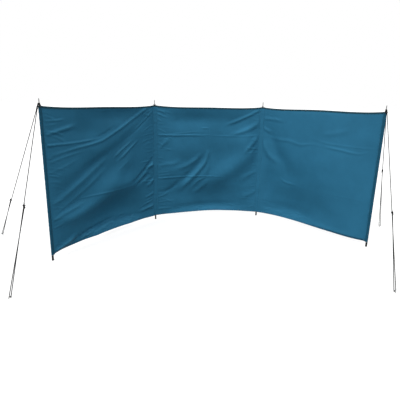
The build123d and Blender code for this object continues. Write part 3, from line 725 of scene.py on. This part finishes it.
for pole in poles:
    sleeve, width, height = makePocket(pole)
    pieces[pole + "_sleeve"] = sleeve
    pieces[pole + "_seam_stitching"] = pocketStitching(pole)
    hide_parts(pole + "_pocket")
print("pole pockets sewn")


# webbing straps over the pole tops, with a hole for the spike

webbing = {"thickness": 1.4 * mm, "bend": 2.4 * mm, "step": 1.1 * mm, "rib": 0.16 * mm, "ribPitch": 2.2 * mm,
           "wrap": 1.6 * mm, "hug": 1.0 * mm, "bendSteps": 7, "hole": 5.2 * mm}
holeCutter = {"sides": 32, "half": 4 * mm}


def strapFacing(pole):
    backs = [back for _, back in tailsOf(pole)]
    return unit(np.array([*sum(backs), 0.0]))


def makeStrap(pole):
    centre = poleFoot(pole)
    strap = meshPoints(pole + "_strap") - centre
    across = strapFacing(pole)
    along = np.cross(across, upward)
    half = np.max(np.abs(strap @ across)) - webbing["thickness"] / 2
    halfWidth = np.max(np.abs(strap @ along))
    topZ, lowZ = strap[:, 2].max() - webbing["thickness"] / 2, strap[:, 2].min()
    bend = webbing["bend"]
    corner = [(half - bend * (1 - math.cos(angle)), topZ - bend * (1 - math.sin(angle)))
              for angle in np.linspace(0, math.pi / 2, webbing["bendSteps"])]
    profile = [(half, lowZ), *corner]
    profile = evenPath(np.array(profile + [(-y, z) for y, z in profile[::-1]]), webbing["step"])
    widths = spacedLine(-halfWidth, halfWidth, webbing["step"])
    s, w = np.meshgrid(np.arange(len(profile)), widths, indexing="ij")
    y, z = profile[s][..., 0], profile[s][..., 1]
    leg = smoothStep((topZ - bend - z) / (topZ - lowZ - bend))
    y = y - np.sign(y) * leg * (webbing["hug"] + webbing["wrap"] * (w / halfWidth) ** 2)
    rib = webbing["rib"] * np.sin(2 * math.pi * w / webbing["ribPitch"])
    points = centre + y[..., None] * across + w[..., None] * along + z[..., None] * upward
    points += gridNormals(points) * rib[..., None]
    uv = np.stack([s * webbing["step"], w], -1)
    piece = newPiece(pole + "_webbing", *clothShell([points], [uv], webbing["thickness"]))
    drill(piece, centre + upward * topZ, webbing["hole"])
    return piece


def drill(piece, place, radius):
    cutter = bpy.data.meshes.new("cutter")
    count, half = holeCutter["sides"], holeCutter["half"]
    angles = np.linspace(0, 2 * math.pi, count + 1)[:-1]
    ring = [(radius * math.cos(a), radius * math.sin(a)) for a in angles]
    verts = [(place[0] + x, place[1] + y, place[2] + h) for h in (-half, half) for x, y in ring]
    sides = [(i, (i + 1) % count, count + (i + 1) % count, count + i) for i in range(count)]
    ends = [tuple(range(count - 1, -1, -1)), tuple(range(count, 2 * count))]
    cutter.from_pydata(verts, [], sides + ends)
    tool = bpy.data.objects.new("cutter", cutter)
    scene.collection.objects.link(tool)
    cut = piece.modifiers.new("hole", "BOOLEAN")
    cut.operation = "DIFFERENCE"
    cut.solver = "EXACT"
    cut.object = tool
    shaped = bpy.data.meshes.new_from_object(piece.evaluated_get(bpy.context.evaluated_depsgraph_get()))
    piece.modifiers.remove(cut)
    piece.data = shaped
    bpy.data.objects.remove(tool)


for pole in poles:
    strap = makeStrap(pole)
    pieces[pole + "_webbing"] = strap
    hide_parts(pole + "_strap")
print("straps folded over the pole tops")


# guy ropes, each worked out with its pole at the origin and its peg along +X, as the solids are

guySets = {
    "left_back": {"pole": "left_end", "bearing": 139.5, "reach": 0.910, "lift": 0.500,
                  "level": 0, "side": 1},
    "left_front": {"pole": "left_end", "bearing": -103.5, "reach": 0.550, "lift": 0.650,
                   "level": 1, "side": -1},
    "right_back": {"pole": "right_end", "bearing": 42.0, "reach": 0.680, "lift": 0.815,
                   "level": 0, "side": -1},
    "right_front": {"pole": "right_end", "bearing": -111.5, "reach": 0.805, "lift": 0.610,
                    "level": 1, "side": 1},
}
rope = {"radius": 3.0 * mm, "sides": 12, "step": 2.6 * mm, "braid": 0.07, "braidPitch": 13 * mm,
        "endSize": 0.55, "endCap": 0.2, "splineOrder": 3, "splineSteps": 24}
knot = {"rope": 2.2 * mm, "step": 1.1 * mm, "turns": 2.5, "points": 30, "radius": 4.2 * mm,
        "length": 11.5 * mm, "tail": 18 * mm, "leave": (0.9, 0.5), "overlap": 4 * mm, "run": 30 * mm,
        "gap": 9.25 * mm, "through": 5 * mm}
loop = {"gap": 0.2 * mm, "seat": 3.5 * mm, "clearance": 0.3 * mm, "cornerOut": 16 * mm, "leg": 2.2 * mm,
        "brow": 5 * mm, "cornerIn": 3 * mm, "slim": 0.94, "step": 1.4 * mm, "turn": 45}
pegTurn = {"height": 18 * mm, "lean": 40.0, "radius": 3.0 * mm, "clearance": 0.5 * mm,
           "near": 15 * mm, "straight": 60 * mm}
runner = {"holes": 16 * mm, "strandGap": 11 * mm, "lead": 20 * mm}


def ropeLine(points, step):
    # evenly spaced points on a smooth spline through the route's control points
    curve = bpy.data.curves.new("ropeLine", "CURVE")
    curve.dimensions = "3D"
    curve.resolution_u = rope["splineSteps"]
    spline = curve.splines.new("NURBS")
    spline.points.add(len(points) - 1)
    for point, place in zip(spline.points, points):
        point.co = (*place, 1)
    spline.order_u = rope["splineOrder"]
    spline.use_endpoint_u = True
    holder = bpy.data.objects.new("ropeLine", curve)
    scene.collection.objects.link(holder)
    mesh = bpy.data.meshes.new_from_object(holder.evaluated_get(bpy.context.evaluated_depsgraph_get()))
    line = np.array([vertex.co for vertex in mesh.vertices], float)
    bpy.data.objects.remove(holder)
    bpy.data.curves.remove(curve)
    bpy.data.meshes.remove(mesh)
    return evenPath(line, step)


def ropeTube(line, radius):
    # braided round rope, closed at both ends
    sides = rope["sides"]
    ways = np.gradient(line, axis=0)
    ways /= np.linalg.norm(ways, axis=1, keepdims=True)
    normal = unit(np.cross(ways[0], upward if abs(ways[0][2]) < 0.9 else np.array([1.0, 0, 0])))
    angles = np.linspace(0, 2 * math.pi, sides, endpoint=False)
    run = np.concatenate([[0], np.cumsum(np.linalg.norm(np.diff(line, axis=0), axis=1))])
    rings = []
    for i, (place, way) in enumerate(zip(line, ways)):
        normal = unit(normal - way * (normal @ way))
        second = np.cross(way, normal)
        twist = 2 * math.pi * run[i] / rope["braidPitch"]
        size = radius * (1 + rope["braid"] * np.cos(2 * angles + twist) * np.cos(2 * angles - twist))
        size *= rope["endSize"] if i in (0, len(line) - 1) else 1.0
        outline = np.cos(angles)[:, None] * normal + np.sin(angles)[:, None] * second
        rings.append(place + size[:, None] * outline)
    count = len(rings)
    caps = ways[[0, -1]] * rope["endCap"] * radius
    verts = np.vstack([*rings, line[:1] - caps[:1], line[-1:] + caps[1:]])
    index = np.arange(count * sides).reshape(count, sides)
    after = np.roll(index, -1, axis=1)
    quads = np.stack([index[:-1], after[:-1], after[1:], index[1:]], -1).reshape(-1, 4)
    first = np.stack([after[0], index[0], np.full(sides, count * sides)], -1)
    last = np.stack([index[-1], after[-1], np.full(sides, count * sides + 1)], -1)
    return verts, quads, np.vstack([first, last])


def knotLine(middle, way, side):
    # turns of rope wound round a strand, ending in a short tail
    third = np.cross(way, side)
    share = np.linspace(0, 1, knot["points"])
    turn = 2 * math.pi * knot["turns"] * share
    line = middle + ((share - 0.5) * knot["length"])[:, None] * way
    line = line + knot["radius"] * (np.cos(turn)[:, None] * side + np.sin(turn)[:, None] * third)
    onward, outward = knot["leave"]
    leave = unit(onward * way + outward * (line[-1] - middle) / knot["radius"])
    return np.vstack([line, line[-1] + leave * knot["tail"] / 2, line[-1] + leave * knot["tail"]])


def guyRoute(spec):  # the rope's lines with their radii: loop, strand and the two knots
    lateral = np.array([0.0, 1.0, 0.0])
    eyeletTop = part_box(spec["pole"] + "_eyelet")[1].z
    ringZ = eyeletTop + (loop["gap"] + rope["radius"]) + (2 * rope["radius"] + loop["gap"]) * spec["level"]
    corner = np.array([loop["cornerOut"], 0.0, ringZ])
    pegSide = np.array([spec["reach"], 0.0, pegTurn["height"]])
    climb = unit(corner - pegSide)
    lean = math.radians(pegTurn["lean"])
    shank = np.array([math.sin(lean), 0.0, math.cos(lean)])
    around = pegTurn["radius"] + rope["radius"] + pegTurn["clearance"]
    turnRadius = around / np.linalg.norm(np.cross(shank, climb))
    over = np.cross(lateral, climb) * spec["side"]
    lowerHole = pegSide + climb * spec["lift"] + over * runner["strandGap"]
    holeRise = math.sqrt(runner["holes"] ** 2 - runner["strandGap"] ** 2)
    flat = unit(np.cross(climb * holeRise - over * runner["strandGap"], np.cross(climb, over)))
    turnLow = pegSide - climb * turnRadius
    returnLow = turnLow - lateral * (2 * turnRadius)
    backUp = unit(lowerHole - returnLow)
    endKnot = lowerHole + backUp * knot["gap"] / abs(flat @ backUp)
    topKnot = corner - climb * knot["run"]

    # loop round the spike, its two legs together down to the knot
    ringSize = (loop["seat"] + loop["clearance"] + rope["radius"]) / math.cos(math.radians(loop["turn"] / 2))
    ringAngles = np.radians(np.arange(loop["turn"], 360 - loop["turn"] + 1, loop["turn"]))
    ring = [np.array([ringSize * math.cos(a), ringSize * math.sin(a), ringZ]) for a in ringAngles]
    leg = loop["leg"] * lateral
    brow = corner - climb * loop["brow"]
    inner = corner - np.array([loop["cornerIn"], 0, 0])
    turn = [topKnot + leg, brow + leg, inner + leg, *ring, inner - leg, brow - leg, topKnot - leg]
    near, straight = pegTurn["near"], pegTurn["straight"]
    strand = [topKnot + climb * knot["overlap"], topKnot - climb * straight, turnLow + climb * straight,
              turnLow + climb * near, turnLow, returnLow, returnLow + backUp * near,
              returnLow + backUp * straight, lowerHole - backUp * runner["lead"],
              endKnot + backUp * knot["through"]]
    return [
        (ropeLine(turn, loop["step"]), rope["radius"] * loop["slim"]),
        (ropeLine(strand, rope["step"]), rope["radius"]),
        (ropeLine(knotLine(topKnot, -climb, lateral), knot["step"]), knot["rope"]),
        (ropeLine(knotLine(endKnot, backUp, over), knot["step"]), knot["rope"]),
    ]


def makeGuy(name, spec):
    bearing = math.radians(spec["bearing"])
    across, ahead = math.cos(bearing), math.sin(bearing)
    turnPlace = np.array([[across, -ahead, 0], [ahead, across, 0], [0, 0, 1]])
    verts, quads, fans, base = [], [], [], 0
    for line, radius in guyRoute(spec):
        tubeVerts, tubeQuads, tubeFans = ropeTube(line, radius)
        verts.append(tubeVerts @ turnPlace.T + poleFoot(spec["pole"]))
        quads.append(tubeQuads + base)
        fans.append(tubeFans + base)
        base += len(tubeVerts)
    piece = newPiece(name + "_rope", np.vstack(verts), [np.vstack(quads), np.vstack(fans)])
    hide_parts(name + "_guy")
    return piece


for name, spec in guySets.items():
    pieces[name + "_rope"] = makeGuy(name, spec)
print("guy ropes rigged")


# shared surface effects, each a node group with its own sockets

mixSockets = {"mask": 0, "first": 6, "second": 7, "result": 2}  # of a Mix node set to colour
noiseRough = 0.55
weaveSlub = {"scale": 90.0, "detail": 3.0}
cloudNoise = {"detail": 5.0, "low": 0.32, "high": 0.68}
edgeWear = {"sharp": (0.53, 0.62), "detail": 4.0, "broken": (0.4, 0.65)}
grainDetail = 3.0
# breakup and threshold of the painted fold highlight and painted shade
foldTones = {"start": 0.05, "detail": 4.0, "broken": (0.3, 0.7), "least": 0.5}
bandBlend = 0.4 * mm


def newGroup(name, inputs, outputs):
    group = bpy.data.node_groups.new(name, "ShaderNodeTree")
    for socket, value in inputs.items():
        made = group.interface.new_socket(socket, in_out="INPUT", socket_type="NodeSocketFloat")
        made.default_value = value
    for socket in outputs:
        group.interface.new_socket(socket, in_out="OUTPUT", socket_type="NodeSocketFloat")
    return group, group.nodes.new("NodeGroupInput"), group.nodes.new("NodeGroupOutput")


def mathNode(tree, operation, first, second=None):
    node = tree.nodes.new("ShaderNodeMath")
    node.operation = operation
    for socket, value in zip(node.inputs, (first, second)):
        if value is None:
            continue
        if isinstance(value, (int, float)):
            socket.default_value = value
        else:
            tree.links.new(value, socket)
    return node.outputs[0]


def rangeNode(tree, value, fromLow, fromHigh, toLow, toHigh):
    node = tree.nodes.new("ShaderNodeMapRange")
    ends = {"From Min": fromLow, "From Max": fromHigh, "To Min": toLow, "To Max": toHigh}
    for socket, number in ends.items():
        node.inputs[socket].default_value = number
    tree.links.new(value, node.inputs["Value"])
    return node.outputs["Result"]


def mixColours(tree, mask, first, second):
    node = tree.nodes.new("ShaderNodeMix")
    node.data_type = "RGBA"
    tree.links.new(mask, node.inputs[mixSockets["mask"]])
    for place, colour in (("first", first), ("second", second)):
        socket = node.inputs[mixSockets[place]]
        if isinstance(colour, tuple):
            socket.default_value = (*colour, 1)
        else:
            tree.links.new(colour, socket)
    return node.outputs[mixSockets["result"]]


def noiseNode(tree, scale, detail):
    where = tree.nodes.new("ShaderNodeTexCoord")
    noise = tree.nodes.new("ShaderNodeTexNoise")
    noise.inputs["Detail"].default_value = detail
    noise.inputs["Roughness"].default_value = noiseRough
    tree.links.new(where.outputs["Object"], noise.inputs["Vector"])
    if isinstance(scale, (int, float)):
        noise.inputs["Scale"].default_value = scale
    else:
        tree.links.new(scale, noise.inputs["Scale"])
    return noise.outputs["Fac"]


def plainWeave():
    # over and under threads on the cloth's own flat measure
    group, given, put = newGroup("plainWeave", {"Threads": 1100.0, "Slub": 0.4}, ("Height",))
    place = group.nodes.new("ShaderNodeUVMap")
    place.uv_map = "clothPlace"
    parts = group.nodes.new("ShaderNodeSeparateXYZ")
    group.links.new(place.outputs["UV"], parts.inputs["Vector"])
    turns = mathNode(group, "MULTIPLY", given.outputs["Threads"], math.pi)
    warp = mathNode(group, "SINE", mathNode(group, "MULTIPLY", parts.outputs["X"], turns))
    weft = mathNode(group, "SINE", mathNode(group, "MULTIPLY", parts.outputs["Y"], turns))
    cross = mathNode(group, "MULTIPLY", warp, weft)
    uneven = noiseNode(group, weaveSlub["scale"], weaveSlub["detail"])
    slub = mathNode(group, "MULTIPLY", uneven, given.outputs["Slub"])
    group.links.new(mathNode(group, "ADD", cross, slub), put.inputs["Height"])
    return group


def cloudTone():
    group, given, put = newGroup("cloudTone", {"Scale": 6.0}, ("Mask",))
    noise = noiseNode(group, given.outputs["Scale"], cloudNoise["detail"])
    mask = rangeNode(group, noise, cloudNoise["low"], cloudNoise["high"], 0, 1)
    group.links.new(mask, put.inputs["Mask"])
    return group


def rubbedEdge():
    group, given, put = newGroup("rubbedEdge", {"Breakup": 160.0}, ("Mask",))
    shape = group.nodes.new("ShaderNodeNewGeometry")
    edge = rangeNode(group, shape.outputs["Pointiness"], *edgeWear["sharp"], 0, 1)
    noise = noiseNode(group, given.outputs["Breakup"], edgeWear["detail"])
    broken = rangeNode(group, noise, *edgeWear["broken"], 0, 1)
    group.links.new(mathNode(group, "MULTIPLY", edge, broken), put.inputs["Mask"])
    return group


def fineGrain():
    group, given, put = newGroup("fineGrain", {"Scale": 900.0}, ("Height",))
    group.links.new(noiseNode(group, given.outputs["Scale"], grainDetail), put.inputs["Height"])
    return group


def foldHighlightShade():
    # painted highlight along standing folds and painted shade in the hollows; on end pockets the same masks
    # lay painted shade round the pole
    group, given, put = newGroup("foldHighlightShade", {"Breakup": 25.0}, ("Ridge", "Hollow"))
    line = group.nodes.new("ShaderNodeAttribute")
    line.attribute_name = "paintedLightShade"
    noise = noiseNode(group, given.outputs["Breakup"], foldTones["detail"])
    broken = rangeNode(group, noise, *foldTones["broken"], foldTones["least"], 1)
    ridge = rangeNode(group, line.outputs["Fac"], foldTones["start"], 1, 0, 1)
    hollow = rangeNode(group, line.outputs["Fac"], -foldTones["start"], -1, 0, 1)
    group.links.new(mathNode(group, "MULTIPLY", ridge, broken), put.inputs["Ridge"])
    group.links.new(mathNode(group, "MULTIPLY", hollow, broken), put.inputs["Hollow"])
    return group


def topBand():
    # the part of a pocket that lies above a given height
    group, given, put = newGroup("topBand", {"Start": 1.0}, ("Mask",))
    place = group.nodes.new("ShaderNodeUVMap")
    place.uv_map = "clothPlace"
    parts = group.nodes.new("ShaderNodeSeparateXYZ")
    group.links.new(place.outputs["UV"], parts.inputs["Vector"])
    above = mathNode(group, "SUBTRACT", parts.outputs["Y"], given.outputs["Start"])
    group.links.new(rangeNode(group, above, -bandBlend, bandBlend, 0, 1), put.inputs["Mask"])
    return group


effects = {"weave": plainWeave(), "cloud": cloudTone(), "edge": rubbedEdge(), "grain": fineGrain(),
           "fold": foldHighlightShade(), "band": topBand()}
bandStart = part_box("left_inner_pocket")[1].z - plans["middle"]["topHem"]


def placeEffect(tree, effect, **values):
    node = tree.nodes.new("ShaderNodeGroup")
    node.node_tree = effects[effect]
    for socket, value in values.items():
        node.inputs[socket].default_value = value
    return node.outputs


# colours are linear; rough is the range of roughness over the surface

wovenCloth = {"rough": (0.66, 0.8), "weave": 1150.0, "bump": 0.25, "depth": 0.12 * mm, "specular": 0.15}
clothBlue = {"dark": (0.0185, 0.131, 0.232), "light": (0.0232, 0.151, 0.266)}
bindingTone = (0.011, 0.052, 0.074)
moulded = {"cloud": 40.0, "grain": 1800.0, "bump": 0.12, "depth": 0.2 * mm}
bareSteel = {"depth": 0.2 * mm, "metal": 1.0}
# foldBreakup breaks up the painted fold highlight and shade; edgeBreakup the rubbed edges; slub the weave
wearAndFoldLight = {"foldBreakup": 25.0, "edgeBreakup": 160.0, "slub": 0.4}
finishes = {
    # ridge and hollow colours: painted highlight on standing folds and painted shade in hollows
    "blueCloth": {**wovenCloth, **clothBlue, "cloud": 5.0,
                  "ridge": (0.031, 0.177, 0.300), "hollow": (0.0138, 0.106, 0.194)},
    "darkBinding": {**wovenCloth, "dark": (0.010, 0.048, 0.068), "light": (0.014, 0.062, 0.088),
                    "cloud": 14.0, "rough": (0.62, 0.8)},
    # lower hem slightly darker than the cloth: painted shade on the hem
    "blueHem": {**wovenCloth, "dark": (0.0185, 0.126, 0.224), "light": (0.0232, 0.146, 0.258),
                "cloud": 14.0},
    # end pockets: the dark base colours are painted shade over the pole's round; the ridge colour is the
    # plain cloth on the tails
    "endPocketShaded": {**wovenCloth, "dark": (0.008, 0.068, 0.118), "light": (0.011, 0.084, 0.146), "cloud": 12.0,
                  "band": bindingTone, "ridge": (0.0246, 0.163, 0.288), "hollow": (0.008, 0.068, 0.118)},
    "innerPocket": {**wovenCloth, **clothBlue, "cloud": 12.0, "band": bindingTone},
    "sewingThread": {"dark": (0.030, 0.120, 0.205), "light": (0.055, 0.165, 0.260), "cloud": 300.0,
                     "rough": (0.5, 0.7), "grain": 5000.0, "bump": 0.2, "depth": 0.1 * mm, "specular": 0.3},
    "blackWebbing": {"dark": (0.008, 0.008, 0.009), "light": (0.017, 0.017, 0.019), "cloud": 90.0,
                     "rough": (0.6, 0.8), "weave": 900.0, "bump": 0.4, "depth": 0.2 * mm, "specular": 0.3,
                     "edge": (0.045, 0.045, 0.047)},
    "charcoalRope": {"dark": (0.004, 0.004, 0.0045), "light": (0.011, 0.011, 0.012), "cloud": 380.0,
                     "rough": (0.7, 0.9), "grain": 2600.0, "bump": 0.4, "depth": 0.3 * mm, "specular": 0.08},
    "blackPlastic": {**moulded, "dark": (0.009, 0.009, 0.010), "light": (0.016, 0.016, 0.017),
                     "rough": (0.38, 0.55), "specular": 0.45, "edge": (0.06, 0.06, 0.062)},
    "footPlastic": {**moulded, "dark": (0.004, 0.004, 0.0045), "light": (0.007, 0.007, 0.0075),
                    "rough": (0.55, 0.7), "specular": 0.2, "edge": (0.02, 0.02, 0.021)},
    "tubeSteel": {**bareSteel, "dark": (0.24, 0.245, 0.25), "light": (0.36, 0.365, 0.37), "cloud": 30.0,
                  "rough": (0.28, 0.45), "grain": 1400.0, "bump": 0.08, "edge": (0.5, 0.5, 0.5)},
    "spikeSteel": {**bareSteel, "dark": (0.026, 0.027, 0.028), "light": (0.055, 0.056, 0.058), "cloud": 60.0,
                   "rough": (0.25, 0.42), "grain": 1600.0, "bump": 0.08, "edge": (0.1, 0.1, 0.1)},
    "eyeletSteel": {**bareSteel, "dark": (0.34, 0.335, 0.32), "light": (0.48, 0.475, 0.46), "cloud": 80.0,
                    "rough": (0.22, 0.38), "grain": 1600.0, "bump": 0.06, "edge": (0.62, 0.62, 0.6)},
    "pegSteel": {**bareSteel, "dark": (0.40, 0.40, 0.395), "light": (0.55, 0.55, 0.54), "cloud": 70.0,
                 "rough": (0.3, 0.5), "grain": 1300.0, "bump": 0.1, "edge": (0.65, 0.65, 0.64)},
}


def makeFinish(name, spec):
    material = bpy.data.materials.new(name)
    material.use_nodes = True
    tree = material.node_tree
    surface = tree.nodes["Principled BSDF"]
    cloud = placeEffect(tree, "cloud", Scale=spec["cloud"])["Mask"]
    colour = mixColours(tree, cloud, spec["dark"], spec["light"])
    # painted highlight on fold ridges, painted shade in hollows and round the pole, from the fold attribute
    if "ridge" in spec:
        fade = placeEffect(tree, "fold", Breakup=wearAndFoldLight["foldBreakup"])
        colour = mixColours(tree, fade["Ridge"], colour, spec["ridge"])
        colour = mixColours(tree, fade["Hollow"], colour, spec["hollow"])
    if "band" in spec:
        band = placeEffect(tree, "band", Start=bandStart)
        colour = mixColours(tree, band["Mask"], colour, spec["band"])
    if "edge" in spec:
        rubbed = placeEffect(tree, "edge", Breakup=wearAndFoldLight["edgeBreakup"])
        colour = mixColours(tree, rubbed["Mask"], colour, spec["edge"])
    tree.links.new(colour, surface.inputs["Base Color"])
    tree.links.new(rangeNode(tree, cloud, 0, 1, *spec["rough"]), surface.inputs["Roughness"])
    if "weave" in spec:
        height = placeEffect(tree, "weave", Threads=spec["weave"], Slub=wearAndFoldLight["slub"])["Height"]
    else:
        height = placeEffect(tree, "grain", Scale=spec["grain"])["Height"]
    bump = tree.nodes.new("ShaderNodeBump")
    bump.inputs["Strength"].default_value = spec["bump"]
    bump.inputs["Distance"].default_value = spec["depth"]
    tree.links.new(height, bump.inputs["Height"])
    tree.links.new(bump.outputs["Normal"], surface.inputs["Normal"])
    surface.inputs["Metallic"].default_value = spec.get("metal", 0.0)
    surface.inputs["Specular IOR Level"].default_value = spec.get("specular", 0.5)
    return material


materials = {name: makeFinish(name, spec) for name, spec in finishes.items()}
pieceFinish = {"_cloth": "blueCloth", "_upper_hem": "darkBinding", "_lower_hem": "blueHem",
               "_end_sleeve": "endPocketShaded", "_inner_sleeve": "innerPocket", "_stitching": "sewingThread",
               "_webbing": "blackWebbing", "_rope": "charcoalRope"}
nodeFinish = {"_pole": "tubeSteel", "_foot": "footPlastic", "_spike": "spikeSteel", "_eyelet": "eyeletSteel",
              "_runner": "blackPlastic", "_peg": "pegSteel"}
for name, piece in pieces.items():
    finish = next(finish for ending, finish in pieceFinish.items() if name.endswith(ending))
    piece.data.materials.clear()
    piece.data.materials.append(materials[finish])
for name, node in cadNodes.items():
    for ending, finish in nodeFinish.items():
        if name.endswith(ending):
            for slot in node.material_slots:
                slot.material = materials[finish]
print("finishes made:", len(materials))


# camera, placed by matching the pole tops and feet to the photograph

cameraSet = {
    "place": (-0.0016, -3.5991, 1.4694),
    "pitch": 12.26,       # degrees below level
    "yaw": 8.597,         # degrees toward +X
    "roll": 1.258,
    "focalPixels": 304.83,
    "framePixels": 400,
    "axisRow": 165.0,     # row of the frame that the lens axis meets
    "sensor": 36.0,
}


def makeCamera(spec):
    data = bpy.data.cameras.new("camera")
    data.sensor_width = spec["sensor"]
    data.lens = spec["focalPixels"] / spec["framePixels"] * spec["sensor"]
    data.shift_y = (spec["axisRow"] - spec["framePixels"] / 2) / spec["framePixels"]
    camera = bpy.data.objects.new("camera", data)
    turn = Matrix.Rotation(-math.radians(spec["yaw"]), 4, "Z")
    tilt = Matrix.Rotation(math.radians(90 - spec["pitch"]), 4, "X")
    roll = Matrix.Rotation(math.radians(spec["roll"]), 4, "Z")
    camera.matrix_world = Matrix.Translation(spec["place"]) @ turn @ tilt @ roll
    scene.collection.objects.link(camera)
    scene.camera = camera


# soft light from the upper left, white surroundings

light = {"skyTop": 2.0, "skyLevel": 0.34, "sunWay": (-0.44, -0.37, 0.82), "sunPower": 1.85,
         "sunSpread": 20.0, "sunAway": 5.0, "floorBounce": 0.08, "floorShown": 1.0, "floorGlow": 0.7,
         "floorSize": 60.0, "floorRough": 0.9}


def seenRays(tree):
    rays = tree.nodes.new("ShaderNodeLightPath")
    seen = mathNode(tree, "MAXIMUM", rays.outputs["Is Camera Ray"], rays.outputs["Is Glossy Ray"])
    return mathNode(tree, "MAXIMUM", seen, rays.outputs["Is Transmission Ray"])


def makeWorld():
    world = bpy.data.worlds.new("studio")
    world.use_nodes = True
    tree = world.node_tree
    background = tree.nodes["Background"]
    background.inputs["Color"].default_value = (1, 1, 1, 1)
    where = tree.nodes.new("ShaderNodeTexCoord")
    parts = tree.nodes.new("ShaderNodeSeparateXYZ")
    tree.links.new(where.outputs["Generated"], parts.inputs["Vector"])
    sky = rangeNode(tree, parts.outputs["Z"], 0.0, 1.0, light["skyLevel"], light["skyTop"])
    level = mathNode(tree, "MAXIMUM", sky, seenRays(tree))
    tree.links.new(level, background.inputs["Strength"])
    scene.world = world


def makeSun():
    data = bpy.data.lights.new("sun", "SUN")
    data.angle = math.radians(light["sunSpread"])
    data.energy = light["sunPower"]
    lamp = bpy.data.objects.new("sun", data)
    way = Vector(light["sunWay"])
    lamp.location = way * light["sunAway"]
    lamp.rotation_euler = (-way).to_track_quat("-Z", "Y").to_euler()
    scene.collection.objects.link(lamp)


def makeFloor():
    size = light["floorSize"]
    mesh = bpy.data.meshes.new("floor")
    corners = [(-size, -size, 0), (size, -size, 0), (size, size, 0), (-size, size, 0)]
    mesh.from_pydata(corners, [], [(0, 1, 2, 3)])
    floor = bpy.data.objects.new("floor", mesh)
    scene.collection.objects.link(floor)
    material = bpy.data.materials.new("paleFloor")
    material.use_nodes = True
    tree = material.node_tree
    surface = tree.nodes["Principled BSDF"]
    surface.inputs["Roughness"].default_value = light["floorRough"]
    surface.inputs["Specular IOR Level"].default_value = 0.0
    bounce, shown = (light["floorBounce"],) * 3, (light["floorShown"],) * 3
    seen = seenRays(tree)
    tree.links.new(mixColours(tree, seen, bounce, shown), surface.inputs["Base Color"])
    glow = tree.nodes.new("ShaderNodeEmission")
    mix = tree.nodes.new("ShaderNodeMixShader")
    tree.links.new(mathNode(tree, "MULTIPLY", seen, light["floorGlow"]), mix.inputs["Fac"])
    tree.links.new(surface.outputs["BSDF"], mix.inputs[1])
    tree.links.new(glow.outputs["Emission"], mix.inputs[2])
    tree.links.new(mix.outputs["Shader"], tree.nodes["Material Output"].inputs["Surface"])
    mesh.materials.append(material)


makeCamera(cameraSet)
makeWorld()
makeSun()
makeFloor()
scene.view_settings.view_transform = "Standard"
print("camera and light set")
